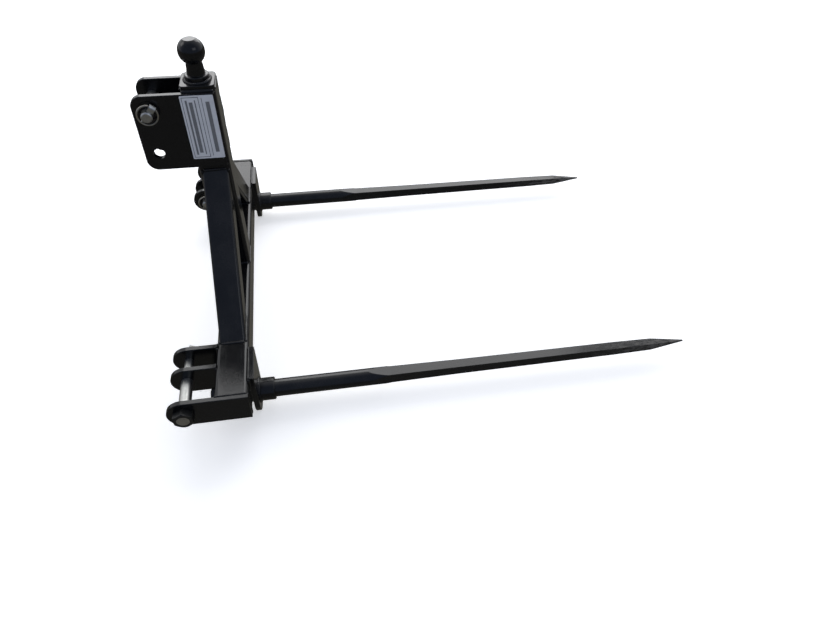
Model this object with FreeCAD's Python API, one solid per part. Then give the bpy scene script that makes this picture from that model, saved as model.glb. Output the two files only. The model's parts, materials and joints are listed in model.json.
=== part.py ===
import FreeCAD, Part
import math
import os

from FreeCAD import Vector

# Twin bale spear for a tractor's three-point linkage.
# Millimetres, +Z up, +X towards the spear tips, +Y to the driver's right.
# The pieces are worked out from the spears' axes and the sleeves' front end,
# then moved so that the origin is on the floor under the middle of the part.

# ---- spears ----
spear_spacing = 820.0          # axis to axis
spear_reach = 1105.0           # sleeve's front end to tip
shank_d = 44.45                # round shank
shank_length = 235.0           # plain round stretch in front of the sleeve
scallop_length = 55.0          # forged change from round to square
square_root = 30.0             # side of the square where the scallops end
square_mid = 27.0
square_mid_x = 470.0
square_front = 24.5
square_front_x = 900.0
point_length = 95.0            # four-sided point
point_root = 22.0              # side of the square where the point starts
point_flat = 3.0               # blunt end
forging_margin = 2.0           # squares behind the shank stand clear of the round bar
thread_d = 28.0
thread_extra = 4.0             # thread that shows past the nut
thread_chamfer = 2.0

# ---- sleeves that the spears are drawn into ----
sleeve_d = 57.15
sleeve_length = 127.0
sleeve_nose = 38.1             # sleeve in front of its plate
sleeve_chamfer = 2.0
taper_length = 105.0           # spear's cone inside the sleeve
taper_clearance = 0.05
thread_clearance = 0.5

# ---- spear nuts ----
nut_across = 46.0
nut_height = 25.0
nut_chamfer = 2.76
nut_clearance = 0.15

# ---- square tubes ----
tube_size = 76.2
tube_wall = 6.35
tube_corner = 9.5              # outer corner radius
brace_size = 63.5
brace_corner = 8.0
brace_foot = 340.0             # brace's outer face on the cross tube, from the middle
brace_angle = 45.0

# ---- mast, cap and ball ----
mast_top = 618.0               # top of the cap, above the spears' axes
cap_thickness = 9.5
ball_d = 58.74
ball_height = 63.0             # ball's middle above the cap
ball_flat_d = 27.0
neck_top_d = 35.5
neck_base_d = 41.0
collar_d = 55.0
collar_height = 13.0
collar_round = 3.0

# ---- plates ----
plate_thickness = 12.7
edge_break = 1.0
overshoot = 1.0                # a cutting tool's run past each face it goes through
spear_plate_width = 101.6
weld_clearance = 0.2

# ---- lower hitch points ----
hitch_width = 1028.0           # over the outer plates
outer_gap = 86.3               # between the outer and the middle plate
inner_gap = 52.3               # between the middle and the inner plate
lower_pin_back = 72.0          # pin's axis behind the cross tube
outer_pin_d = 28.575
inner_pin_d = 22.225
lower_hole_clearance = 0.4
pin_head_across = 42.9
pin_head_height = 17.5
pin_head_chamfer = 2.0
pin_tail = 24.0                # pin past the plate that the lynch pin stands at
pin_chamfer = 2.5

# ---- top link plates and pin ----
top_plate_top = 606.0
top_plate_height = 183.0
top_plate_back = 109.0         # plate behind the mast
top_plate_front_margin = 3.2   # mast left showing in front of the plate
top_plate_corner = 25.0
top_pin_back = 76.0            # both holes, behind the mast
top_pin_down = 39.0            # upper hole below the plate's top edge
top_hole_spacing = 101.6
top_pin_d = 25.4
top_hole_clearance = 0.4
top_head_d = 38.0
top_head_height = 9.5

# ---- lynch pins and their rings ----
lynch_d = 9.5
lynch_tail = 24.0              # shank past the middle of the pin it locks
lynch_offset = 8.5             # lynch pin's axis from the plate it keeps the pin in
lynch_hole_clearance = 0.3
lynch_seat = 0.1               # lynch pin's head above the pin it locks
lynch_point = 2.5
lug_r = 7.0
lug_width = 14.0
lug_rise = 9.0                 # ring's axis above the pin's surface
lug_set_out = 3.0              # ring's axis out from the lynch pin's own axis
ring_wire_d = 4.0
ring_r = 22.0                  # middle of the wire
ring_ear = 9.6                 # half of the wire's straight length through the lug
ring_running = 0.08
ring_air = 0.5                 # ring to shank where it lies over it
top_lynch_lean = 40.0          # lynch pin's lean from upright
lower_lynch_lean = 25.0

# ---- worked out ----
spear_y = spear_spacing / 2
shank_r = shank_d / 2
sleeve_r = sleeve_d / 2
sleeve_back_x = -sleeve_length
plate_front_x = -sleeve_nose
tube_front_x = plate_front_x - plate_thickness
tube_back_x = tube_front_x - tube_size
tube_middle_x = tube_front_x - tube_size / 2
tube_bottom_z = sleeve_r
tube_top_z = tube_bottom_z + tube_size
tube_middle_z = tube_bottom_z + tube_size / 2
tube_half = hitch_width / 2 - plate_thickness
middle_plate_face = tube_half - outer_gap
inner_plate_face = middle_plate_face - plate_thickness - inner_gap
lower_lynch_y = inner_plate_face - plate_thickness - lynch_offset
mast_half = tube_size / 2
cap_bottom_z = mast_top - cap_thickness
spear_plate_r = spear_plate_width / 2
lower_pin_x = tube_back_x - lower_pin_back
lower_plate_r = tube_size / 2
back_x = lower_pin_x - lower_plate_r
top_pin_x = tube_back_x - top_pin_back
top_pin_z = top_plate_top - top_pin_down
top_plate_back_x = tube_back_x - top_plate_back
top_plate_front_x = tube_front_x - top_plate_front_margin
top_plate_face = mast_half + plate_thickness
nut_back_x = sleeve_back_x - nut_height
centre_x = (spear_reach + back_x) / 2
floor_z = -spear_plate_r
same = 1e-6                    # two lengths closer than this are one

X_AXIS = Vector(1, 0, 0)
Y_AXIS = Vector(0, 1, 0)
Z_AXIS = Vector(0, 0, 1)
CENTRE = Vector(0, 0, 0)


def block(x0, x1, y0, y1, z0, z1):
    return Part.makeBox(x1 - x0, y1 - y0, z1 - z0, Vector(x0, y0, z0))


def rod(radius, length, start, direction):
    return Part.makeCylinder(radius, length, start, direction)


def face_of(edges):
    return Part.Face(Part.Wire(edges))


def polygon(points):
    return Part.Face(Part.makePolygon(points + [points[0]]))


def turned(profile, axis_point, axis):
    """A solid of revolution from a closed outline of points."""
    return polygon(profile).revolve(axis_point, axis, 360)


def hexagon(across, height, base, axis):
    """A hexagonal prism along +X or along +Y or -Y."""
    radius = across / math.sqrt(3)
    points = []
    for step in range(6):
        angle = math.radians(60 * step + 30)
        side, up = radius * math.cos(angle), radius * math.sin(angle)
        offset = Vector(side, 0, up) if abs(axis.y) > 0 else Vector(0, side, up)
        points.append(base + offset)
    return polygon(points).extrude(axis * height)


def rounded_square(size, corner, height):
    """A rounded square prism along +Z, centred on the axis."""
    body = block(-size / 2, size / 2, -size / 2, size / 2, 0, height)
    upright = [e for e in body.Edges if abs(e.tangentAt(e.FirstParameter).z) > 0.9]
    return body.makeFillet(corner, upright)


def square_tube(size, corner, wall, length):
    outer = rounded_square(size, corner, length)
    inner = rounded_square(size - 2 * wall, corner - wall, length)
    return outer.cut(inner)


def broken_edges(plate, normal):
    """Chamfer the outline of both large faces of a flat plate."""
    outline = []
    for face in plate.Faces:
        at = face.normalAt(0, 0)
        if abs(abs(at.dot(normal)) - 1) < same and face.Area > plate.Volume / plate_thickness / 2:
            outline += face.OuterWire.Edges
    return plate.makeChamfer(edge_break, outline)


def mirrored(shape, side):
    """A piece is made for +Y; side -1 gives its mirror image."""
    if side > 0:
        return shape
    return shape.mirror(CENTRE, Y_AXIS)


# ---- frame ----
def cross_tube():
    tube = square_tube(tube_size, tube_corner, tube_wall, 2 * tube_half)
    tube.rotate(CENTRE, X_AXIS, -90)
    tube.translate(Vector(tube_middle_x, -tube_half, tube_middle_z))
    return tube


def mast():
    tube = square_tube(tube_size, tube_corner, tube_wall, cap_bottom_z - tube_top_z)
    tube.translate(Vector(tube_middle_x, 0, tube_top_z))
    return tube


def mast_cap():
    cap = rounded_square(tube_size, tube_corner, cap_thickness)
    cap.translate(Vector(tube_middle_x, 0, cap_bottom_z))
    rim = [e for e in cap.Edges if e.BoundBox.ZMin > mast_top - same]
    return cap.makeChamfer(edge_break, rim)


def brace():
    """A tube from the cross tube's top up to the mast's side, mitred at both ends."""
    slope = math.radians(brace_angle)
    run = brace_foot - mast_half
    length = run / math.cos(slope)
    spare = 2 * brace_size
    tube = square_tube(brace_size, brace_corner, tube_wall, length + 2 * spare)
    tube.translate(Vector(-brace_size / 2, 0, -spare))
    tube.rotate(CENTRE, X_AXIS, 90 - brace_angle)
    below = brace_size / 2
    tube.translate(Vector(
        tube_middle_x + brace_size / 2,
        brace_foot - below / math.sin(slope),
        tube_top_z,
    ))
    room = block(
        tube_back_x, tube_front_x,
        mast_half, brace_foot + brace_size,
        tube_top_z, tube_top_z + length + brace_size,
    )
    return tube.common(room)


# ---- ball ----
def hitch_ball():
    """Collar, flared neck and ball with a flat top, turned from one bar."""
    ball_r = ball_d / 2
    neck_r = neck_top_d / 2
    flat_r = ball_flat_d / 2
    flat_z = math.sqrt(ball_r ** 2 - flat_r ** 2)
    join_z = -math.sqrt(ball_r ** 2 - neck_r ** 2)
    middle = ball_height

    def at(radius, height):
        return Vector(radius, 0, height)

    collar_r = collar_d / 2
    arc = Part.Arc(at(neck_r, middle + join_z), at(ball_r, middle), at(flat_r, middle + flat_z))
    shoulder = collar_height - collar_round
    corner = Part.Arc(
        at(collar_r, shoulder),
        at(collar_r - collar_round * (1 - math.sqrt(0.5)), shoulder + collar_round * math.sqrt(0.5)),
        at(collar_r - collar_round, collar_height),
    )
    outline = [
        Part.makeLine(at(0, 0), at(collar_r, 0)),
        Part.makeLine(at(collar_r, 0), at(collar_r, shoulder)),
        corner.toShape(),
        Part.makeLine(at(collar_r - collar_round, collar_height), at(neck_base_d / 2, collar_height)),
        Part.makeLine(at(neck_base_d / 2, collar_height), at(neck_r, middle + join_z)),
        arc.toShape(),
        Part.makeLine(at(flat_r, middle + flat_z), at(0, middle + flat_z)),
        Part.makeLine(at(0, middle + flat_z), at(0, 0)),
    ]
    ball = face_of(outline).revolve(CENTRE, Z_AXIS, 360)
    ball.translate(Vector(tube_middle_x, 0, mast_top))
    return ball


# ---- spears, sleeves, plates and nuts ----
def spear():
    """Thread, cone and round shank, forged square from the scallops to the point."""
    thread_r = thread_d / 2
    end_x = nut_back_x - thread_extra
    bar = turned([
        Vector(end_x, 0, 0),
        Vector(end_x, 0, thread_r - thread_chamfer),
        Vector(end_x + thread_chamfer, 0, thread_r),
        Vector(-taper_length, 0, thread_r),
        Vector(0, 0, shank_r),
        Vector(spear_reach, 0, shank_r),
        Vector(spear_reach, 0, 0),
    ], CENTRE, X_AXIS)

    stations = [
        (end_x - overshoot, shank_d + forging_margin),
        (shank_length, shank_d),
        (shank_length + scallop_length, square_root),
        (square_mid_x, square_mid),
        (square_front_x, square_front),
        (spear_reach - point_length, point_root),
        (spear_reach, point_flat),
    ]
    sections = []
    for x, side in stations:
        half = side / 2
        corners = [Vector(x, -half, -half), Vector(x, half, -half), Vector(x, half, half), Vector(x, -half, half)]
        sections.append(Part.makePolygon(corners + [corners[0]]))
    forging = Part.makeLoft(sections, True, True)
    result = bar.common(forging)
    result.translate(Vector(0, spear_y, 0))
    return result


def spear_sleeve():
    """A sleeve with the spear's cone bored into it and a clear hole for the thread."""
    hole_r = thread_d / 2 + thread_clearance
    mouth_r = shank_r + taper_clearance
    slope = (shank_r - thread_d / 2) / taper_length
    cone_end = -(mouth_r - hole_r) / slope
    sleeve = turned([
        Vector(sleeve_back_x, 0, hole_r),
        Vector(sleeve_back_x, 0, sleeve_r),
        Vector(-sleeve_chamfer, 0, sleeve_r),
        Vector(0, 0, sleeve_r - sleeve_chamfer),
        Vector(0, 0, mouth_r),
        Vector(cone_end, 0, hole_r),
    ], CENTRE, X_AXIS)
    sleeve.translate(Vector(0, spear_y, 0))
    return sleeve


def spear_plate():
    """An upright plate with a round bottom about the sleeve that it carries."""
    y0, y1 = spear_y - spear_plate_r, spear_y + spear_plate_r
    x = tube_front_x
    top_left, top_right = Vector(x, y0, tube_top_z), Vector(x, y1, tube_top_z)
    low_left, low_right = Vector(x, y0, 0), Vector(x, y1, 0)
    bottom = Part.Arc(low_left, Vector(x, spear_y, -spear_plate_r), low_right)
    outline = [
        Part.makeLine(top_left, low_left),
        bottom.toShape(),
        Part.makeLine(low_right, top_right),
        Part.makeLine(top_right, top_left),
    ]
    plate = face_of(outline).extrude(X_AXIS * plate_thickness)
    plate = broken_edges(plate, X_AXIS)
    hole_start = Vector(x - overshoot, spear_y, 0)
    hole = rod(sleeve_r + weld_clearance, plate_thickness + 2 * overshoot, hole_start, X_AXIS)
    return plate.cut(hole)


def spear_nut():
    nut = hexagon(nut_across, nut_height, Vector(nut_back_x, spear_y, 0), X_AXIS)
    crown = turned([
        Vector(nut_back_x, 0, 0),
        Vector(nut_back_x, 0, nut_across / 2),
        Vector(nut_back_x + nut_chamfer, 0, nut_across / math.sqrt(3)),
        Vector(sleeve_back_x - nut_chamfer, 0, nut_across / math.sqrt(3)),
        Vector(sleeve_back_x, 0, nut_across / 2),
        Vector(sleeve_back_x, 0, 0),
    ], CENTRE, X_AXIS)
    crown.translate(Vector(0, spear_y, 0))
    hole_start = Vector(nut_back_x - overshoot, spear_y, 0)
    hole = rod(thread_d / 2 + nut_clearance, nut_height + 2 * overshoot, hole_start, X_AXIS)
    return nut.common(crown).cut(hole)


# ---- lower hitch points ----
def lower_plate(outer_face, front_x, hole_d):
    """A hitch plate as tall as the cross tube, with a full-round back end."""
    y = outer_face - plate_thickness
    back = Part.Arc(
        Vector(lower_pin_x, y, tube_top_z),
        Vector(back_x, y, tube_middle_z),
        Vector(lower_pin_x, y, tube_bottom_z),
    )
    outline = [
        back.toShape(),
        Part.makeLine(Vector(lower_pin_x, y, tube_bottom_z), Vector(front_x, y, tube_bottom_z)),
        Part.makeLine(Vector(front_x, y, tube_bottom_z), Vector(front_x, y, tube_top_z)),
        Part.makeLine(Vector(front_x, y, tube_top_z), Vector(lower_pin_x, y, tube_top_z)),
    ]
    plate = broken_edges(face_of(outline).extrude(Y_AXIS * plate_thickness), Y_AXIS)
    hole_r = hole_d / 2 + lower_hole_clearance
    hole_start = Vector(lower_pin_x, y - overshoot, tube_middle_z)
    return plate.cut(rod(hole_r, plate_thickness + 2 * overshoot, hole_start, Y_AXIS))


def lower_hitch_pin():
    """A headed pin with a thick outer step and a thin inner one, for both hitch sizes."""
    head_face = hitch_width / 2
    head_end = head_face + pin_head_height
    tail_y = inner_plate_face - plate_thickness - pin_tail
    head = hexagon(pin_head_across, pin_head_height, Vector(0, head_face, 0), Y_AXIS)
    flat_r = pin_head_across / 2
    corner_r = pin_head_across / math.sqrt(3)
    crown = turned([
        Vector(0, head_face, 0),
        Vector(corner_r, head_face, 0),
        Vector(corner_r, head_end - pin_head_chamfer, 0),
        Vector(flat_r, head_end, 0),
        Vector(0, head_end, 0),
    ], CENTRE, Y_AXIS)
    outer_r, inner_r = outer_pin_d / 2, inner_pin_d / 2
    shank = turned([
        Vector(0, tail_y, 0),
        Vector(inner_r - pin_chamfer, tail_y, 0),
        Vector(inner_r, tail_y + pin_chamfer, 0),
        Vector(inner_r, middle_plate_face, 0),
        Vector(outer_r, middle_plate_face, 0),
        Vector(outer_r, head_face, 0),
        Vector(0, head_face, 0),
    ], CENTRE, Y_AXIS)
    pin = shank.fuse(head.common(crown)).removeSplitter()
    pin = pin.cut(lynch_hole(lower_lynch_lean, Vector(0, lower_lynch_y, 0)))
    pin.translate(Vector(lower_pin_x, 0, tube_middle_z))
    return pin


# ---- top link ----
def top_link_plate():
    y = mast_half
    z0, z1 = top_plate_top - top_plate_height, top_plate_top
    plate = block(top_plate_back_x, top_plate_front_x, y, top_plate_face, z0, z1)
    back = [
        e for e in plate.Edges
        if abs(e.tangentAt(e.FirstParameter).y) > 0.9 and e.BoundBox.XMax < top_plate_back_x + same
    ]
    plate = broken_edges(plate.makeFillet(top_plate_corner, back), Y_AXIS)
    hole_r = top_pin_d / 2 + top_hole_clearance
    for z in (top_pin_z, top_pin_z - top_hole_spacing):
        hole_start = Vector(top_pin_x, y - overshoot, z)
        plate = plate.cut(rod(hole_r, plate_thickness + 2 * overshoot, hole_start, Y_AXIS))
    return plate


def top_link_pin():
    """A pin put in from the right, kept by a lynch pin on the left."""
    pin_r = top_pin_d / 2
    tail_y = -top_plate_face - pin_tail
    head_r = top_head_d / 2
    head_end = top_plate_face + top_head_height
    pin = turned([
        Vector(0, tail_y, 0),
        Vector(pin_r - pin_chamfer, tail_y, 0),
        Vector(pin_r, tail_y + pin_chamfer, 0),
        Vector(pin_r, top_plate_face, 0),
        Vector(head_r, top_plate_face, 0),
        Vector(head_r, head_end - pin_head_chamfer, 0),
        Vector(head_r - pin_head_chamfer, head_end, 0),
        Vector(0, head_end, 0),
    ], CENTRE, Y_AXIS)
    pin = pin.cut(lynch_hole(top_lynch_lean, Vector(0, -top_plate_face - lynch_offset, 0)))
    pin.translate(Vector(top_pin_x, 0, top_pin_z))
    return pin


# ---- lynch pins ----
def lynch_hole(lean, point):
    """The cross hole for a lynch pin that leans towards +X at its head."""
    reach = outer_pin_d
    hole = rod(lynch_d / 2 + lynch_hole_clearance, 2 * reach, Vector(0, 0, -reach), Z_AXIS)
    hole.rotate(CENTRE, Y_AXIS, lean)
    hole.translate(point)
    return hole


def place_lynch(piece, outwards, lean, point):
    """Turn a piece made facing +Y to face outwards, lean it and put it on its pin."""
    if outwards < 0:
        piece.rotate(CENTRE, Z_AXIS, 180)
    piece.rotate(CENTRE, Y_AXIS, lean)
    piece.translate(point)
    return piece


def lynch_pin(locked_d):
    """A shank through the pin it locks, with a rounded lug that holds the ring."""
    pin_r = locked_d / 2
    seat_z = pin_r + lynch_seat
    eye_z = pin_r + lug_rise
    shank = turned([
        Vector(0, 0, -lynch_tail),
        Vector(lynch_d / 2 - lynch_point, 0, -lynch_tail),
        Vector(lynch_d / 2, 0, lynch_point - lynch_tail),
        Vector(lynch_d / 2, 0, seat_z),
        Vector(0, 0, seat_z),
    ], CENTRE, Z_AXIS)
    half = lug_width / 2
    low = block(-half, half, lug_set_out - lug_r, lug_set_out + lug_r, seat_z, eye_z)
    dome = rod(lug_r, lug_width, Vector(-half, lug_set_out, eye_z), X_AXIS)
    lug = low.fuse(dome).removeSplitter()
    eye_r = ring_wire_d / 2 + ring_running
    eye_start = Vector(-half - overshoot, lug_set_out, eye_z)
    eye = rod(eye_r, lug_width + 2 * overshoot, eye_start, X_AXIS)
    return shank.fuse(lug).cut(eye)


def lynch_ring(locked_d):
    """A wire ring with a straight stretch through the lug, lying over the shank."""
    wire_r = ring_wire_d / 2
    drop = math.sqrt(ring_r ** 2 - ring_ear ** 2)
    opening = math.degrees(math.asin(ring_ear / ring_r))
    bow = Part.makeTorus(ring_r, wire_r, CENTRE, Z_AXIS, -180, 180, 360 - 2 * opening)
    bow.rotate(CENTRE, Z_AXIS, 90 + opening)
    bow.rotate(CENTRE, X_AXIS, 90)
    bow.translate(Vector(0, 0, -drop))
    axle = rod(wire_r, 2 * ring_ear, Vector(-ring_ear, 0, 0), X_AXIS)
    ring = bow.fuse(axle)
    for end in (-ring_ear, ring_ear):
        ring = ring.fuse(Part.makeSphere(wire_r, Vector(end, 0, 0)))
    out = lynch_d / 2 + wire_r + ring_air - lug_set_out
    ring.rotate(CENTRE, X_AXIS, math.degrees(math.asin(out / (drop + ring_r))))
    ring.translate(Vector(0, lug_set_out, locked_d / 2 + lug_rise))
    return ring


# ---- all pieces ----
def build():
    pieces = {
        "cross_tube": cross_tube(),
        "mast": mast(),
        "mast_cap": mast_cap(),
        "hitch_ball": hitch_ball(),
        "top_link_pin": top_link_pin(),
    }
    top_point = Vector(top_pin_x, -top_plate_face - lynch_offset, top_pin_z)
    pieces["top_lynch_pin"] = place_lynch(lynch_pin(top_pin_d), -1, top_lynch_lean, top_point)
    pieces["top_lynch_ring"] = place_lynch(lynch_ring(top_pin_d), -1, top_lynch_lean, top_point)

    for name, side in (("left", -1), ("right", 1)):
        lynch_point_at = Vector(lower_pin_x, side * lower_lynch_y, tube_middle_z)
        pair = {
            "brace": brace(),
            "spear": spear(),
            "spear_sleeve": spear_sleeve(),
            "spear_plate": spear_plate(),
            "spear_nut": spear_nut(),
            "lower_outer_plate": lower_plate(hitch_width / 2, tube_front_x, outer_pin_d),
            "lower_middle_plate": lower_plate(middle_plate_face, tube_back_x, inner_pin_d),
            "lower_inner_plate": lower_plate(inner_plate_face, tube_back_x, inner_pin_d),
            "lower_hitch_pin": lower_hitch_pin(),
            "top_link_plate": top_link_plate(),
        }
        for piece_name, shape in pair.items():
            pieces[piece_name + "_" + name] = mirrored(shape, side)
        pieces["lower_lynch_pin_" + name] = place_lynch(
            lynch_pin(inner_pin_d), -side, lower_lynch_lean, lynch_point_at)
        pieces["lower_lynch_ring_" + name] = place_lynch(
            lynch_ring(inner_pin_d), -side, lower_lynch_lean, lynch_point_at)
    return pieces


os.makedirs("parts", exist_ok=True)
for node, shape in build().items():
    shape.translate(Vector(-centre_x, 0, -floor_z))
    shape.exportStep("parts/" + node + ".step")
    box = shape.BoundBox
    print("%-26s solids %d valid %s volume %10.0f  x %8.2f %8.2f  y %8.2f %8.2f  z %7.2f %7.2f" % (
        node, len(shape.Solids), shape.isValid(), shape.Volume,
        box.XMin, box.XMax, box.YMin, box.YMax, box.ZMin, box.ZMax))
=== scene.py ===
# %% [markdown]
# # A twin bale spear for a tractor
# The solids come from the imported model: square tubes, plates, spears and pins, each in its place. This
# lesson dresses them. It adds the weld beads, the sticker, the threads and a few drops of weld spatter,
# and gives every piece a finish made of nodes: gloss black enamel, dusty spear points and plated pins.

import json
import math
import random

import bmesh
import bpy
from mathutils import Matrix, Vector


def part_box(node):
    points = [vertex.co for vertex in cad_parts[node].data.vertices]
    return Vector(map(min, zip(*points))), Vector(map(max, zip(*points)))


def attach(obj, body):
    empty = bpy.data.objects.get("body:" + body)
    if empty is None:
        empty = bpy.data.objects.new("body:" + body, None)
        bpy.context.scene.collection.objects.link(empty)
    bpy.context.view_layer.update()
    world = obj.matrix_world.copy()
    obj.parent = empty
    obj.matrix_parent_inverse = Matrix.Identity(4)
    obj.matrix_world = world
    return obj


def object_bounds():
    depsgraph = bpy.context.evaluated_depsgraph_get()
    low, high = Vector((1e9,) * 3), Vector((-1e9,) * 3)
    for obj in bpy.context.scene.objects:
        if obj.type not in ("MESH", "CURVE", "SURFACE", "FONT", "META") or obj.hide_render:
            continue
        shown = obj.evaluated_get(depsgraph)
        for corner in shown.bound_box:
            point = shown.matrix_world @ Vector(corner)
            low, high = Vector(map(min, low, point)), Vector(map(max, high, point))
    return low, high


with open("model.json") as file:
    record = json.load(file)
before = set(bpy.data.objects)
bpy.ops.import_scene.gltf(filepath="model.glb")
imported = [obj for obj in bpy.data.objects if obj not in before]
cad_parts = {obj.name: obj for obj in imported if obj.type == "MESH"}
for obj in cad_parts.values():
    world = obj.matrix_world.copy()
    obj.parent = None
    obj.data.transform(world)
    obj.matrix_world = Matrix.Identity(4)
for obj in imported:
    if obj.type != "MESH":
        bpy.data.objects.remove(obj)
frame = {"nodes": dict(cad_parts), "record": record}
cad_low, cad_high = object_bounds()
MM = 0.001
print("solids reach from", tuple(cad_low), "to", tuple(cad_high))

# %% [markdown]
# ## Camera
# The camera stands behind and to the left of the frame and looks down at about 45 degrees. A moderately
# wide lens close to the part gives the strong taper from the near spear to the far one. Its place is
# written down in metres from the middle of the floor under the part, and its direction as three angles.

# %% Camera
CAMERA_PLACE = Vector((-0.2933, -1.4262, 1.2975))
CAMERA_AZIMUTH = math.radians(-11.45)
CAMERA_ELEVATION = math.radians(44.63)
CAMERA_ROLL = math.radians(2.25)
CAMERA_LENS = 27.1


def camera_axes(azimuth, elevation, roll):
    """Right and up of a camera that looks along +Y at azimuth 0, then is rolled about its view."""
    level = math.cos(elevation)
    forward = Vector((-math.sin(azimuth) * level, math.cos(azimuth) * level, -math.sin(elevation)))
    right = forward.cross(Vector((0, 0, 1))).normalized()
    up = right.cross(forward)
    turn = Matrix.Rotation(-roll, 3, forward)
    return forward, turn @ right, turn @ up


view_forward, view_right, view_up = camera_axes(CAMERA_AZIMUTH, CAMERA_ELEVATION, CAMERA_ROLL)
camera_data = bpy.data.cameras.new("camera")
camera_data.lens = CAMERA_LENS
camera_data.sensor_width = 36
camera_data.clip_start = 0.05
camera = bpy.data.objects.new("camera", camera_data)
bpy.context.scene.collection.objects.link(camera)
turned = Matrix((view_right, view_up, -view_forward)).transposed()
camera.matrix_world = Matrix.Translation(CAMERA_PLACE) @ turned.to_4x4()
bpy.context.scene.camera = camera
print("camera looks along", tuple(round(v, 3) for v in view_forward))

# %% [markdown]
# ## Helpers for node trees
# A finish is a small graph of nodes. Writing it out link by link is long, so `add` makes one node, sets
# its options and either sets or links each of its inputs.


# %% Node helpers
def add(tree, kind, inputs=None, **options):
    node = tree.nodes.new(kind)
    for key, value in options.items():
        setattr(node, key, value)
    for key, value in (inputs or {}).items():
        if isinstance(value, bpy.types.NodeSocket):
            tree.links.new(value, node.inputs[key])
        else:
            node.inputs[key].default_value = value
    return node


def sums(tree, operation, first, second=0.0, third=0.0):
    """One Math node; its result."""
    return add(tree, "ShaderNodeMath", {0: first, 1: second, 2: third}, operation=operation).outputs[0]


def ramp(tree, value, low, high):
    """0 below low, 1 above high and a smooth step between."""
    inputs = {"Value": value, "From Min": low, "From Max": high}
    return add(tree, "ShaderNodeMapRange", inputs, interpolation_type="SMOOTHSTEP").outputs["Result"]


def mix_colour(tree, share, first, second):
    inputs = {0: share, 6: first, 7: second}
    return add(tree, "ShaderNodeMix", inputs, data_type="RGBA").outputs[2]


def mix_value(tree, share, first, second):
    return add(tree, "ShaderNodeMix", {0: share, 2: first, 3: second}).outputs[0]


def noise(tree, place, scale, detail=3.0, roughness=0.55):
    inputs = {"Vector": place, "Scale": scale, "Detail": detail, "Roughness": roughness}
    return add(tree, "ShaderNodeTexNoise", inputs).outputs["Fac"]


def object_place(tree):
    return add(tree, "ShaderNodeTexCoord").outputs["Object"]


# %% [markdown]
# ## Shared effects
# Three effects return in several finishes, so each is a node group with named sockets: the ripple that
# sprayed enamel dries with, the thin dust that settles on it, and a painted highlight along the edges.


# %% Node groups
def new_group(name, inputs, outputs):
    tree = bpy.data.node_groups.new(name, "ShaderNodeTree")
    for socket, default in inputs.items():
        made = tree.interface.new_socket(socket, in_out="INPUT", socket_type="NodeSocketFloat")
        made.default_value = default
    for socket in outputs:
        tree.interface.new_socket(socket, in_out="OUTPUT", socket_type="NodeSocketFloat")
    return tree, tree.nodes.new("NodeGroupInput"), tree.nodes.new("NodeGroupOutput")


def make_enamel_ripple():
    """Height of sprayed enamel: fine orange peel over long slow waves."""
    tree, given, result = new_group("enamel_ripple", {"Peel Scale": 160.0, "Wave": 0.6}, ["Height"])
    place = object_place(tree)
    peel = noise(tree, place, given.outputs["Peel Scale"], 2.0, 0.4)
    wave = noise(tree, place, 14.0, 2.0, 0.4)
    height = sums(tree, "MULTIPLY_ADD", wave, given.outputs["Wave"], peel)
    tree.links.new(height, result.inputs["Height"])
    return tree


def make_settled_dust():
    """A mask of dust: more on what faces up, broken into soft patches and specks."""
    tree, given, result = new_group("settled_dust", {"Amount": 0.3, "Patch Scale": 9.0}, ["Mask"])
    place = object_place(tree)
    patches = ramp(tree, noise(tree, place, given.outputs["Patch Scale"], 6.0, 0.65), 0.38, 0.78)
    specks = ramp(tree, noise(tree, place, 420.0, 2.0, 0.5), 0.66, 0.76)
    normal = add(tree, "ShaderNodeNewGeometry").outputs["Normal"]
    upward = add(tree, "ShaderNodeSeparateXYZ", {0: normal}).outputs["Z"]
    facing = ramp(tree, upward, -0.3, 1.0)
    film = sums(tree, "MULTIPLY", sums(tree, "MULTIPLY", patches, facing), given.outputs["Amount"])
    dots = sums(tree, "MULTIPLY", specks, sums(tree, "MULTIPLY", given.outputs["Amount"], 0.5))
    tree.links.new(sums(tree, "MAXIMUM", film, dots), result.inputs["Mask"])
    return tree


def make_painted_edge_highlight():
    """A mask of edges for a painted highlight, from how far a rounded normal turns away from the true one.
    """
    tree, given, result = new_group("painted_edge_highlight", {"Width": 0.0015, "Break": 0.5}, ["Mask"])
    rounded = add(tree, "ShaderNodeBevel", {"Radius": given.outputs["Width"]}, samples=6).outputs[0]
    normal = add(tree, "ShaderNodeNewGeometry").outputs["Normal"]
    agree = add(tree, "ShaderNodeVectorMath", {0: rounded, 1: normal}, operation="DOT_PRODUCT")
    edge = ramp(tree, agree.outputs["Value"], 0.995, 0.80)
    broken = ramp(tree, noise(tree, object_place(tree), 60.0, 5.0, 0.7), given.outputs["Break"], 0.75)
    tree.links.new(sums(tree, "MULTIPLY", edge, broken), result.inputs["Mask"])
    return tree


ENAMEL_RIPPLE = make_enamel_ripple()
SETTLED_DUST = make_settled_dust()
# The edge mask lays a painted highlight: a lighter grey along every edge, broken up by noise.
PAINTED_EDGE_HIGHLIGHT = make_painted_edge_highlight()


def use_group(tree, group, **inputs):
    named = {key.replace("_", " "): value for key, value in inputs.items()}
    return add(tree, "ShaderNodeGroup", named, node_tree=group).outputs[0]


# %% [markdown]
# ## Gloss black enamel
# The frame is sprayed with black enamel. Its colour is nearly black, so what the eye reads is reflection:
# a low roughness, a little ripple, and edges rounded by the Bevel node so that they catch a line of light.
# A lighter grey is also painted along the edges as a painted highlight.


# %% Enamel
def new_finish(name):
    material = bpy.data.materials.new(name)
    material.use_nodes = True
    tree = material.node_tree
    return material, tree, tree.nodes["Principled BSDF"]


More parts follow.
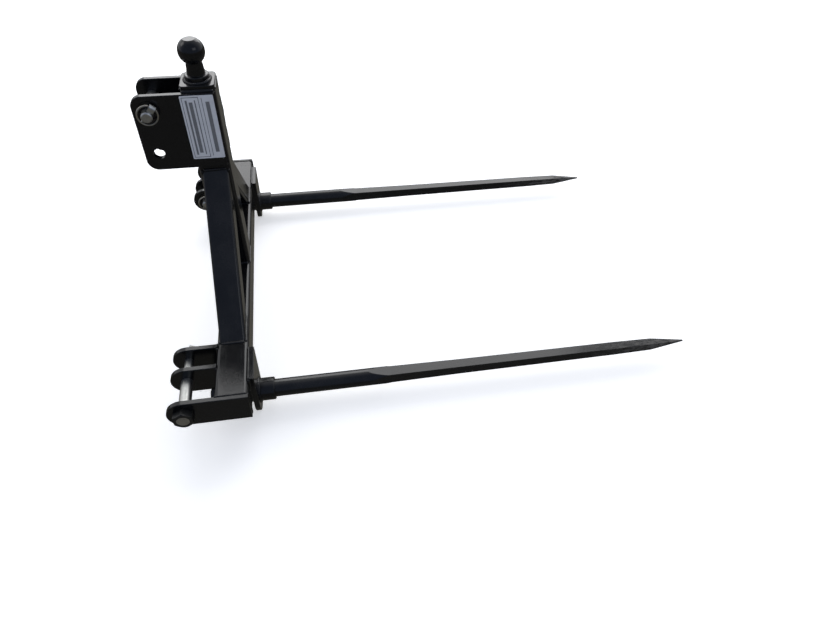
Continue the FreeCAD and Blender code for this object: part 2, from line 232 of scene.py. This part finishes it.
DUST_COLOUR = (0.16, 0.15, 0.135, 1)
# Lighter grey painted along edges: a painted edge highlight.
EDGE_HIGHLIGHT_COLOUR = (0.10, 0.10, 0.10, 1)
BLACK = (0.0035, 0.0038, 0.0046, 1)
BALL_BLACK = (0.0035, 0.0036, 0.0042, 1)
SPEAR_BLACK = (0.0040, 0.0045, 0.0056, 1)
DUSTY_ROUGHNESS = 0.75
RIPPLE_HEIGHT = 0.08 * MM
EDGE_ROUNDING = 1.2 * MM
WELD_ROUNDING = 0.3 * MM


def enamel(name, colour, dust, gloss=0.16, extra_dust=None, round_edges=EDGE_ROUNDING):
    material, tree, shader = new_finish(name)
    mask = use_group(tree, SETTLED_DUST, Amount=dust, Patch_Scale=9.0)
    if extra_dust:
        mask = sums(tree, "MAXIMUM", mask, extra_dust(tree))
    # Painted highlight: edges get a lighter grey, broken up by noise.
    edges = use_group(tree, PAINTED_EDGE_HIGHLIGHT, Width=EDGE_ROUNDING, Break=0.52)
    base = mix_colour(tree, mask, colour, DUST_COLOUR)
    base = mix_colour(tree, sums(tree, "MULTIPLY", edges, 0.35), base, EDGE_HIGHLIGHT_COLOUR)
    tree.links.new(base, shader.inputs["Base Color"])
    smear = noise(tree, object_place(tree), 7.0, 4.0, 0.6)
    clean = sums(tree, "MULTIPLY_ADD", smear, 0.12, gloss - 0.06)
    tree.links.new(mix_value(tree, mask, clean, DUSTY_ROUGHNESS), shader.inputs["Roughness"])
    shader.inputs["Specular IOR Level"].default_value = 0.42
    height = use_group(tree, ENAMEL_RIPPLE, Peel_Scale=160.0, Wave=0.6)
    rounded = add(tree, "ShaderNodeBevel", {"Radius": round_edges}, samples=6).outputs[0]
    settings = {"Strength": 1.0, "Distance": RIPPLE_HEIGHT, "Height": height, "Normal": rounded}
    bump = add(tree, "ShaderNodeBump", settings)
    tree.links.new(bump.outputs[0], shader.inputs["Normal"])
    return material


# %% [markdown]
# ## Dusty spears
# The spears carry the same enamel, but their points have been pushed into the ground, so dust and scuffs
# grow from nothing at mid-length to a grey coat at the tip. The mask is a ramp along X times noise.

# %% Spear finish
tip_x = cad_high.x
SCUFF_START = tip_x - 340 * MM
SCUFF_FULL = tip_x - 20 * MM


def scuffed_tip(tree):
    place = object_place(tree)
    along = add(tree, "ShaderNodeSeparateXYZ", {0: place}).outputs["X"]
    reach = ramp(tree, along, SCUFF_START, SCUFF_FULL)
    stretched = add(tree, "ShaderNodeMapping", {"Vector": place, "Scale": (0.25, 1.0, 1.0)}).outputs[0]
    streaks = ramp(tree, noise(tree, stretched, 130.0, 6.0, 0.7), 0.35, 0.72)
    return sums(tree, "MULTIPLY", sums(tree, "MULTIPLY", streaks, reach), 0.85)


frame_paint = enamel("gloss_black_enamel", BLACK, 0.10)
ball_paint = enamel("ball_enamel", BALL_BLACK, 0.05, gloss=0.12)
spear_paint = enamel("spear_enamel", SPEAR_BLACK, 0.10, extra_dust=scuffed_tip)
weld_paint = enamel("enamel_over_welds", BLACK, 0.16, gloss=0.2, round_edges=WELD_ROUNDING)


# %% [markdown]
# ## Bright plating
# Pins and rings are turned or drawn steel with a clear zinc coat: metallic, fairly rough, with a warm
# grey cloudiness and fine turning marks that run round the pin. The marks are a Wave along Y. The wire
# rings have no such marks. The lower pins' heads caught black overspray round their bare middle.


# %% Plating
SILVER_ZINC = (0.66, 0.66, 0.64, 1)
DULL_ZINC = (0.36, 0.36, 0.34, 1)
WARM_WIRE = (0.55, 0.52, 0.45, 1)
DULL_WIRE = (0.30, 0.28, 0.23, 1)
OVERSPRAY = (0.012, 0.012, 0.011, 1)
TURNING_DEPTH = 0.06 * MM
PIN_ROUNDING = 0.6 * MM
BARE_RADIUS = 13 * MM
RAGGED_EDGE = 3 * MM


def head_paint(tree, place):
    """Overspray on the lower pins' hexagonal heads: outside the plates and clear of the pin's middle."""
    plate_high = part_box("lower_outer_plate_right")[1]
    pin_low, pin_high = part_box("lower_hitch_pin_right")
    split = add(tree, "ShaderNodeSeparateXYZ", {0: place}).outputs
    beside = sums(tree, "SUBTRACT", split["X"], (pin_low.x + pin_high.x) / 2)
    above = sums(tree, "SUBTRACT", split["Z"], (pin_low.z + pin_high.z) / 2)
    squared = sums(tree, "MULTIPLY_ADD", beside, beside, sums(tree, "MULTIPLY", above, above))
    outside = sums(tree, "GREATER_THAN", sums(tree, "ABSOLUTE", split["Y"]), plate_high.y)
    ragged = sums(tree, "MULTIPLY_ADD", noise(tree, place, 70.0, 4.0, 0.6), RAGGED_EDGE, BARE_RADIUS)
    around = sums(tree, "GREATER_THAN", sums(tree, "SQRT", squared), ragged)
    return sums(tree, "MULTIPLY", outside, around)


def plating(name, colour, dull, cloud_scale, turning=True):
    material, tree, shader = new_finish(name)
    place = object_place(tree)
    clouds = noise(tree, place, cloud_scale, 6.0, 0.65)
    bright = mix_colour(tree, clouds, colour, dull)
    if turning:
        sprayed = head_paint(tree, place)
        bright = mix_colour(tree, sprayed, bright, OVERSPRAY)
        metal = sums(tree, "SUBTRACT", 1.0, sums(tree, "MULTIPLY", sprayed, 0.8))
        tree.links.new(metal, shader.inputs["Metallic"])
    else:
        shader.inputs["Metallic"].default_value = 1.0
    tree.links.new(bright, shader.inputs["Base Color"])
    tree.links.new(sums(tree, "MULTIPLY_ADD", clouds, 0.3, 0.22), shader.inputs["Roughness"])
    rounded = add(tree, "ShaderNodeBevel", {"Radius": PIN_ROUNDING}, samples=6).outputs[0]
    height = noise(tree, place, 900.0, 2.0, 0.5)
    if turning:
        marks = {"Vector": place, "Scale": 420.0, "Distortion": 0.8, "Detail": 2.0}
        lines = add(tree, "ShaderNodeTexWave", marks, bands_direction="Y").outputs["Fac"]
        height = mix_value(tree, 0.5, height, lines)
    settings = {"Strength": 0.6, "Distance": TURNING_DEPTH, "Height": height, "Normal": rounded}
    bump = add(tree, "ShaderNodeBump", settings)
    tree.links.new(bump.outputs[0], shader.inputs["Normal"])
    return material


pin_plating = plating("clear_zinc", SILVER_ZINC, DULL_ZINC, 90.0)
ring_plating = plating("warm_zinc_wire", WARM_WIRE, DULL_WIRE, 120.0, turning=False)

SLOT_FINISH = {
    "frame_paint": frame_paint,
    "ball_paint": ball_paint,
    "spear_paint": spear_paint,
    "pin_plating": pin_plating,
    "ring_wire": ring_plating,
}
for part in frame["record"]["subparts"]:
    node = frame["nodes"][part["node"]]
    node.data.materials.clear()
    node.data.materials.append(SLOT_FINISH[part["material_slot"]])

# %% [markdown]
# ## Where things are
# Every position below comes from the solids' own boxes, so the welds and the sticker follow the model.

# %% Positions
tube_low, tube_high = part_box("cross_tube")
mast_low, mast_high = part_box("mast")
cap_low, cap_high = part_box("mast_cap")
ball_low, ball_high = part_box("hitch_ball")
mast_half = mast_high.y
tube_top = tube_high.z
tube_bottom = tube_low.z
tube_back = tube_low.x
tube_front = tube_high.x
mast_x = (mast_low.x + mast_high.x) / 2


# %% [markdown]
# ## Weld beads
# A weld is a row of frozen ripples, each a little crescent laid over the last. Here a bead is a thin
# cylinder or ring, cut into many short steps, whose radius swells and falls with the ripples. Its middle
# lies on the corner between two pieces, so that half of it shows as a rounded fillet.


# %% Bead helpers
RIPPLE = 3.4 * MM
RIPPLE_STEP = RIPPLE / 4
RIPPLE_SWELL = 0.14
RIPPLE_LEAST = 0.93
SLOW_WAVE = 11 * MM
QUICK_WAVE = 4.3 * MM
WANDER_WAVE = 17 * MM
WANDER = 0.10
BEAD_SIDES = 10
weld_beads = []


def finish_piece(bm, name, material, body="root", smooth=True):
    mesh = bpy.data.meshes.new(name)
    for face in bm.faces:
        face.smooth = smooth
    bm.to_mesh(mesh)
    bm.free()
    mesh.materials.append(material)
    piece = bpy.data.objects.new(name, mesh)
    bpy.context.scene.collection.objects.link(piece)
    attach(piece, body)
    return piece


def ripple_factor(distance, whim):
    """How much the bead swells at a distance along it: sharp crescents with some unevenness."""
    phase = (distance / RIPPLE) % 1.0
    slow = 0.10 * math.sin(distance / SLOW_WAVE + whim)
    quick = 0.06 * math.sin(distance / QUICK_WAVE + 2 * whim)
    return RIPPLE_LEAST + RIPPLE_SWELL * phase ** 2 + (slow + quick)


def lay_down(bead, bm, centre, axis):
    """Turn a finished bead from +Z to an axis, put it in place and add it to a piece."""
    turn = Vector((0, 0, 1)).rotation_difference(Vector(axis)).to_matrix().to_4x4()
    bmesh.ops.transform(bead, matrix=Matrix.Translation(centre) @ turn, verts=bead.verts)
    mesh = bpy.data.meshes.new("bead")
    bead.to_mesh(mesh)
    bead.free()
    bm.from_mesh(mesh)
    bpy.data.meshes.remove(mesh)


def straight_bead(bm, start, end, radius):
    """A bead from start to end, with blunt round ends."""
    start, end = Vector(start), Vector(end)
    length = (end - start).length
    steps = max(6, int(length / RIPPLE_STEP))
    whim = start.x * 91 + start.y * 57 + start.z * 33
    bead = bmesh.new()
    bmesh.ops.create_cone(
        bead, cap_ends=True, cap_tris=False, segments=BEAD_SIDES,
        radius1=radius, radius2=radius, depth=length)
    middle = length / 2
    long_edges = [e for e in bead.edges if abs(e.verts[0].co.z - e.verts[1].co.z) > middle]
    bmesh.ops.subdivide_edges(bead, edges=long_edges, cuts=steps - 1, use_grid_fill=False)
    for vert in bead.verts:
        distance = vert.co.z + middle
        nearest = min(distance, length - distance)
        blunt = math.sqrt(max(0.04, 1 - max(0.0, 1 - nearest / radius) ** 2))
        swell = ripple_factor(distance, whim) * blunt
        wander = WANDER * radius * math.sin(distance / WANDER_WAVE + 3 * whim)
        vert.co.x = vert.co.x * swell + wander
        vert.co.y = vert.co.y * swell
    lay_down(bead, bm, (start + end) / 2, end - start)


def ring_bead(bm, centre, axis, ring_radius, radius, rough=1.0):
    """A bead all the way round a circle."""
    steps = int(2 * math.pi * ring_radius / RIPPLE_STEP)
    bead = bmesh.new()
    profile = bmesh.ops.create_circle(bead, cap_ends=False, segments=BEAD_SIDES, radius=radius)
    place = Matrix.Translation((ring_radius, 0, 0)) @ Matrix.Rotation(math.pi / 2, 4, "X")
    bmesh.ops.transform(bead, matrix=place, verts=profile["verts"])
    bmesh.ops.spin(
        bead, geom=list(bead.verts) + list(bead.edges), cent=(0, 0, 0), axis=(0, 0, 1), dvec=(0, 0, 0),
        angle=2 * math.pi, steps=steps, use_merge=True, use_normal_flip=False, use_duplicate=False)
    for vert in bead.verts:
        angle = math.atan2(vert.co.y, vert.co.x)
        middle = Vector((math.cos(angle), math.sin(angle), 0)) * ring_radius
        swell = 1 + rough * (ripple_factor((angle + math.pi) * ring_radius, 2.0) - 1)
        vert.co = middle + (vert.co - middle) * swell
    lay_down(bead, bm, centre, axis)


def weld_piece(name, draw):
    bm = bmesh.new()
    draw(bm)
    bmesh.ops.recalc_face_normals(bm, faces=bm.faces)
    weld_beads.append(finish_piece(bm, name, weld_paint))


# %% [markdown]
# ## Welds of the mast, braces and cap
# The mast and both braces are welded all round where they stand on the cross tube.

# %% Mast, brace and cap welds
FILLET = 4.0 * MM
FLUSH = 2.2 * MM


def mast_welds(bm):
    for y in (-mast_half, mast_half):
        straight_bead(bm, (tube_back + FILLET, y, tube_top), (tube_front - FILLET, y, tube_top), FILLET)
    for x in (tube_back, tube_front):
        straight_bead(bm, (x, -mast_half, tube_top), (x, mast_half, tube_top), FLUSH)
    for y in (-mast_half, mast_half):
        straight_bead(bm, (cap_low.x + 6 * MM, y, cap_low.z), (cap_high.x - 6 * MM, y, cap_low.z), FLUSH)
    for x in (cap_low.x, cap_high.x):
        straight_bead(bm, (x, -mast_half + 6 * MM, cap_low.z), (x, mast_half - 6 * MM, cap_low.z), FLUSH)


def brace_welds(bm, side):
    low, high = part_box("brace_" + side)
    sign = -1 if side == "left" else 1
    outer = max(abs(low.y), abs(high.y))
    rise = high.z - tube_top
    depth = (high.x - low.x) * math.sqrt(2)
    foot_out, foot_in = sign * outer, sign * (outer - depth)
    head_y = sign * mast_half
    for y in (foot_out, foot_in):
        straight_bead(bm, (low.x + 4 * MM, y, tube_top), (high.x - 4 * MM, y, tube_top), FILLET)
    for z in (tube_top + rise, tube_top + rise - depth):
        straight_bead(bm, (low.x + 4 * MM, head_y, z), (high.x - 4 * MM, head_y, z), FILLET)
    for x in (low.x, high.x):
        straight_bead(bm, (x, foot_in, tube_top), (x, foot_out, tube_top), FILLET)
        straight_bead(bm, (x, head_y, tube_top + rise - depth), (x, head_y, tube_top + rise), FILLET)


weld_piece("weld_mast", mast_welds)
for side in ("left", "right"):
    weld_piece("weld_brace_" + side, lambda bm, side=side: brace_welds(bm, side))

# %% [markdown]
# ## Welds of the ball, plates and sleeves
# The ball's collar has a thick, rough bead. The hitch plates have a fillet on each face where they meet
# the back of the cross tube, and the sleeves are welded round on both faces of their plates.


# %% Ball, plate and sleeve welds
COLLAR_RADIUS = 27.5 * MM


def ball_weld(bm):
    ring_bead(bm, (mast_x, 0, ball_low.z), (0, 0, 1), COLLAR_RADIUS + 0.5 * MM, 4.6 * MM, rough=1.8)


def top_plate_welds(bm, side):
    low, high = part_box("top_link_plate_" + side)
    sign = -1 if side == "left" else 1
    inner = sign * mast_half
    front, seam = inner + sign * 2 * MM, inner + sign * MM
    straight_bead(bm, (high.x, front, low.z), (high.x, front, high.z), 3.0 * MM)
    for z in (low.z, high.z):
        straight_bead(bm, (tube_back + 2 * MM, seam, z), (high.x, seam, z), FILLET)
    straight_bead(bm, (tube_back, inner, low.z + 3 * MM), (tube_back, inner, high.z - 3 * MM), FILLET)


def lower_plate_welds(bm, side):
    sign = -1 if side == "left" else 1
    for place in ("middle", "inner"):
        low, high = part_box("lower_%s_plate_%s" % (place, side))
        for y in (low.y, high.y):
            straight_bead(bm, (tube_back, y, low.z + 2 * MM), (tube_back, y, high.z - 2 * MM), FILLET)
        for z in (low.z, high.z):
            straight_bead(bm, (tube_back, low.y, z), (tube_back, high.y, z), FLUSH)
    low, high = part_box("lower_outer_plate_" + side)
    inner = sign * min(abs(low.y), abs(high.y))
    straight_bead(bm, (tube_back, inner, low.z + 2 * MM), (tube_back, inner, high.z - 2 * MM), FILLET)
    for z in (low.z, high.z):
        straight_bead(bm, (tube_back, inner, z), (high.x - 2 * MM, inner, z), FLUSH)
    straight_bead(bm, (high.x, inner, low.z), (high.x, inner, high.z), FLUSH)


def sleeve_welds(bm, side):
    plate_low, plate_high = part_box("spear_plate_" + side)
    sleeve_low, sleeve_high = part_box("spear_sleeve_" + side)
    radius = (sleeve_high.y - sleeve_low.y) / 2
    middle = (sleeve_low + sleeve_high) / 2
    for x in (plate_low.x, plate_high.x):
        ring_bead(bm, (x, middle.y, middle.z), (1, 0, 0), radius, FILLET)
    for y in (plate_low.y, plate_high.y):
        straight_bead(bm, (tube_front, y, tube_bottom + 2 * MM), (tube_front, y, tube_top - 2 * MM), FILLET)
    straight_bead(bm, (tube_front, plate_low.y, tube_top), (tube_front, plate_high.y, tube_top), FLUSH)
    under = tube_bottom - MM
    for offset in (-9 * MM, 9 * MM):
        y = middle.y + offset
        straight_bead(bm, (tube_back + 2 * MM, y, under), (plate_low.x - 4 * MM, y, under), FLUSH)


weld_piece("weld_ball", ball_weld)
for side in ("left", "right"):
    weld_piece("weld_top_plate_" + side, lambda bm, side=side: top_plate_welds(bm, side))
    weld_piece("weld_lower_plates_" + side, lambda bm, side=side: lower_plate_welds(bm, side))
    weld_piece("weld_sleeve_" + side, lambda bm, side=side: sleeve_welds(bm, side))
print("weld pieces:", len(weld_beads))

# %% [markdown]
# ## Sticker
# A silver sticker lies on the left top link plate, beside the mast. It is a thin rounded sheet with its
# own thickness. The print is generic: a border line and a few plain bars, drawn by the material.

# %% Sticker
label_low, label_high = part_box("top_link_plate_left")
STICKER_MARGIN = 2.0 * MM
STICKER_HEIGHT = 157 * MM
STICKER_THICK = 0.25 * MM
sticker_right = label_high.x - STICKER_MARGIN
sticker_left = mast_low.x - STICKER_MARGIN
sticker_top = label_high.z - 3 * MM
sticker_bottom = sticker_top - STICKER_HEIGHT
sticker_face = label_low.y
sticker_wide = sticker_right - sticker_left
SILVER_SHADE = (0.50, 0.51, 0.53, 1)
SILVER_LIGHT = (0.62, 0.63, 0.65, 1)
STICKER_INK = (0.02, 0.02, 0.025, 1)
BAR_INK = 0.75
# Each bar's middle, half width and height, as shares of the sticker.
STICKER_BARS = (
    (0.17, 0.030, 0.86),
    (0.30, 0.055, 0.80),
    (0.43, 0.018, 0.86),
    (0.64, 0.010, 0.92),
    (0.80, 0.060, 0.80),
)


def line_mask(tree, value, centre, half_width):
    """1 where a value lies within half_width of centre."""
    return sums(tree, "LESS_THAN", sums(tree, "ABSOLUTE", sums(tree, "SUBTRACT", value, centre)), half_width)


def sticker_finish():
    """Brushed silver film with dark lines: a long box on the left and plain bars on the right."""
    material, tree, shader = new_finish("silver_sticker")
    place = object_place(tree)
    split = add(tree, "ShaderNodeSeparateXYZ", {0: place}).outputs
    across = sums(tree, "DIVIDE", sums(tree, "SUBTRACT", split["X"], sticker_left), sticker_wide)
    up = sums(tree, "DIVIDE", sums(tree, "SUBTRACT", split["Z"], sticker_bottom), STICKER_HEIGHT)
    in_x = line_mask(tree, across, 0.30, 0.25)
    in_z = line_mask(tree, up, 0.50, 0.475)
    core_x = line_mask(tree, across, 0.30, 0.235)
    core_z = line_mask(tree, up, 0.50, 0.467)
    box = sums(tree, "SUBTRACT", sums(tree, "MULTIPLY", in_x, in_z), sums(tree, "MULTIPLY", core_x, core_z))
    ink = box
    for centre, half, tall in STICKER_BARS:
        level = line_mask(tree, up, 0.5, tall / 2)
        stripe = sums(tree, "MULTIPLY", line_mask(tree, across, centre, half), level)
        ink = sums(tree, "MAXIMUM", ink, sums(tree, "MULTIPLY", stripe, BAR_INK))
    silver = mix_colour(tree, noise(tree, place, 55.0, 5.0, 0.6), SILVER_SHADE, SILVER_LIGHT)
    tree.links.new(mix_colour(tree, ink, silver, STICKER_INK), shader.inputs["Base Color"])
    shader.inputs["Roughness"].default_value = 0.35
    height = noise(tree, place, 40.0, 3.0, 0.5)
    bump = add(tree, "ShaderNodeBump", {"Strength": 0.4, "Distance": 0.0002, "Height": height})
    tree.links.new(bump.outputs[0], shader.inputs["Normal"])
    return material


def make_sticker():
    bm = bmesh.new()
    bmesh.ops.create_grid(bm, x_segments=1, y_segments=1, size=0.5)
    bmesh.ops.scale(bm, vec=(sticker_wide, STICKER_HEIGHT, 1), verts=bm.verts)
    bmesh.ops.bevel(
        bm, geom=list(bm.verts), offset=3 * MM, segments=4, profile=0.5, affect="VERTICES", material=-1)
    made = bmesh.ops.extrude_face_region(bm, geom=list(bm.faces))
    risen = [g for g in made["geom"] if isinstance(g, bmesh.types.BMVert)]
    bmesh.ops.translate(bm, vec=(0, 0, STICKER_THICK), verts=risen)
    upright = Matrix.Rotation(math.pi / 2, 4, "X")
    middle = Vector(((sticker_left + sticker_right) / 2, sticker_face, (sticker_top + sticker_bottom) / 2))
    bmesh.ops.transform(bm, matrix=Matrix.Translation(middle) @ upright, verts=bm.verts)
    bmesh.ops.recalc_face_normals(bm, faces=bm.faces)
    return finish_piece(bm, "sticker", sticker_finish(), smooth=False)


make_sticker()
print("sticker", round(sticker_wide / MM), "by", round(STICKER_HEIGHT / MM), "mm")

# %% [markdown]
# ## Threads
# The end of each spear shows a thread behind its nut. A small triangle is spun round the spear while it
# moves along it, which is what the spin operator's `dvec` does at each step.

# %% Spear threads
THREAD_PITCH = 2.0 * MM
THREAD_STEPS = 24
THREAD_CORE = 14.0 * MM
THREAD_RIDGE = 0.8 * MM
THREAD_START = 0.6 * MM
THREAD_BARE = 2.4 * MM


def make_thread(side):
    nut_low, nut_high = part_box("spear_nut_" + side)
    spear_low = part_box("spear_" + side)[0]
    middle_y = (nut_low.y + nut_high.y) / 2
    middle_z = (nut_low.z + nut_high.z) / 2
    turns = max(1, round((nut_low.x - spear_low.x - THREAD_BARE) / THREAD_PITCH))
    bm = bmesh.new()
    ridge = bmesh.ops.create_circle(bm, cap_ends=False, segments=3, radius=THREAD_RIDGE)
    place = Matrix.Translation((0, THREAD_CORE, 0)) @ Matrix.Rotation(math.pi / 2, 4, "Z")
    bmesh.ops.transform(bm, matrix=place, verts=ridge["verts"])
    edges = list({e for v in ridge["verts"] for e in v.link_edges})
    steps = turns * THREAD_STEPS
    bmesh.ops.spin(
        bm, geom=ridge["verts"] + edges, cent=(0, 0, 0), axis=(1, 0, 0),
        dvec=(-THREAD_PITCH / THREAD_STEPS, 0, 0), angle=2 * math.pi * turns, steps=steps,
        use_merge=False, use_normal_flip=False, use_duplicate=False)
    ends = [e for e in bm.edges if e.is_boundary]
    bmesh.ops.holes_fill(bm, edges=ends, sides=4)
    bmesh.ops.translate(bm, vec=(nut_low.x - THREAD_START, middle_y, middle_z), verts=bm.verts)
    bmesh.ops.recalc_face_normals(bm, faces=bm.faces)
    return finish_piece(bm, "spear_thread_" + side, spear_paint)


for side in ("left", "right"):
    make_thread(side)

# %% [markdown]
# ## Weld spatter
# Small drops of metal fly off a weld and freeze on the plates beside it. They are flattened spheres of
# few faces, scattered by a seeded random generator so that each run gives the same drops.

# %% Spatter
SMALLEST_DROP = 0.35
LARGEST_DROP = 1.0
DROP_FLATNESS = 0.55
SCATTER = 0.5
spatter_random = random.Random(7)


def make_spatter(name, centre, normal, spread, count):
    """Drops on a flat face about centre; spread gives how far they lie along each axis."""
    bm = bmesh.new()
    turn = Vector((0, 0, 1)).rotation_difference(Vector(normal)).to_matrix().to_4x4()
    for _ in range(count):
        size = spatter_random.uniform(SMALLEST_DROP, LARGEST_DROP) * MM
        offset = Vector([spatter_random.gauss(0, SCATTER) * s for s in spread])
        flat = Matrix.Diagonal((1, 1, DROP_FLATNESS, 1))
        place = Matrix.Translation(Vector(centre) + offset) @ turn @ flat
        bmesh.ops.create_uvsphere(bm, u_segments=7, v_segments=5, radius=size, matrix=place)
    return finish_piece(bm, name, weld_paint)


for side, sign in (("left", -1), ("right", 1)):
    low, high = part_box("lower_outer_plate_" + side)
    seam = sign * min(abs(low.y), abs(high.y))
    top_place = ((tube_back + tube_front) / 2, seam - sign * 12 * MM, tube_top)
    make_spatter("spatter_tube_" + side, top_place, (0, 0, 1), (60 * MM, 22 * MM, 0), 60)
make_spatter("spatter_mast", (mast_x, 0, cap_high.z), (0, 0, 1), (38 * MM, 38 * MM, 0), 26)

# %% [markdown]
# ## Floor, sky and lamps
# The floor and the sky are plain and white to the camera. To the part, the sky is a soft gradient: bright
# beyond it, and dim and bluish behind the camera. In reflections the floor is a dark warm grey, so that
# faces turned to the viewer stay black. One broad lamp beyond the part puts a sheen on faces turned up,
# and two smaller ones, left and near, add highlights.


# %% Stage
FLOOR_REACH = 30.0
FLOOR_COLOUR = (0.86, 0.86, 0.86, 1)
FLOOR_GLOW = 0.5
MIRRORED_FLOOR = (0.13, 0.125, 0.11, 1)
SKY_NEAR = (0.20, 0.24, 0.34, 1)
SKY_BEYOND = (0.95, 0.97, 1.0, 1)


def make_floor():
    bm = bmesh.new()
    bmesh.ops.create_grid(bm, x_segments=1, y_segments=1, size=FLOOR_REACH)
    bmesh.ops.translate(bm, vec=(0, 0, cad_low.z), verts=bm.verts)
    mesh = bpy.data.meshes.new("floor")
    bm.to_mesh(mesh)
    bm.free()
    floor = bpy.data.objects.new("floor", mesh)
    bpy.context.scene.collection.objects.link(floor)
    material = bpy.data.materials.new("pale_floor")
    material.use_nodes = True
    tree = material.node_tree
    tree.nodes.clear()
    ray = add(tree, "ShaderNodeLightPath")
    seen = sums(tree, "MAXIMUM", ray.outputs["Is Camera Ray"], ray.outputs["Is Transmission Ray"])
    diffuse = add(tree, "ShaderNodeBsdfDiffuse", {"Color": FLOOR_COLOUR}).outputs[0]
    strength = sums(tree, "MULTIPLY", seen, FLOOR_GLOW)
    glow = add(tree, "ShaderNodeEmission", {"Color": (1, 1, 1, 1), "Strength": strength}).outputs[0]
    both = add(tree, "ShaderNodeAddShader", {0: diffuse, 1: glow}).outputs[0]
    mirrored = add(tree, "ShaderNodeEmission", {"Color": MIRRORED_FLOOR, "Strength": 1.0}).outputs[0]
    choice = add(tree, "ShaderNodeMixShader", {0: ray.outputs["Is Glossy Ray"], 1: both, 2: mirrored})
    add(tree, "ShaderNodeOutputMaterial", {"Surface": choice.outputs[0]})
    mesh.materials.append(material)


def make_sky():
    world = bpy.data.worlds.new("sky")
    bpy.context.scene.world = world
    world.use_nodes = True
    tree = world.node_tree
    tree.nodes.clear()
    direction = add(tree, "ShaderNodeTexCoord").outputs["Generated"]
    split = add(tree, "ShaderNodeSeparateXYZ", {0: direction}).outputs
    beyond = ramp(tree, split["Y"], -0.5, 0.8)
    colour = mix_colour(tree, beyond, SKY_NEAR, SKY_BEYOND)
    ray = add(tree, "ShaderNodeLightPath")
    shown = mix_colour(tree, ray.outputs["Is Camera Ray"], colour, (1, 1, 1, 1))
    background = add(tree, "ShaderNodeBackground", {"Color": shown, "Strength": 1.0})
    add(tree, "ShaderNodeOutputWorld", {"Surface": background.outputs[0]})


def soft_lamp(name, place, aim, wide, tall, radiance, colour=(1, 1, 1)):
    """A rectangular lamp whose face shines with the given radiance."""
    data = bpy.data.lights.new(name, "AREA")
    data.shape = "RECTANGLE"
    data.size = wide
    data.size_y = tall
    data.energy = radiance * math.pi * wide * tall
    data.color = colour
    lamp = bpy.data.objects.new(name, data)
    bpy.context.scene.collection.objects.link(lamp)
    lamp.location = place
    lamp.rotation_euler = (Vector(aim) - Vector(place)).to_track_quat("-Z", "Y").to_euler()
    return lamp


make_floor()
make_sky()
aim = (0, 0, 0.2)
soft_lamp("lamp_beyond", (0.2, 3.0, 2.6), aim, 4.0, 3.0, 2.4)
soft_lamp("lamp_left", (-2.6, 0.6, 2.4), aim, 1.2, 1.2, 1.6, (1.0, 0.98, 0.95))
soft_lamp("lamp_near", (1.6, -2.6, 2.6), aim, 1.8, 1.2, 0.9, (0.95, 0.98, 1.0))

bpy.context.scene.view_settings.view_transform = "Standard"
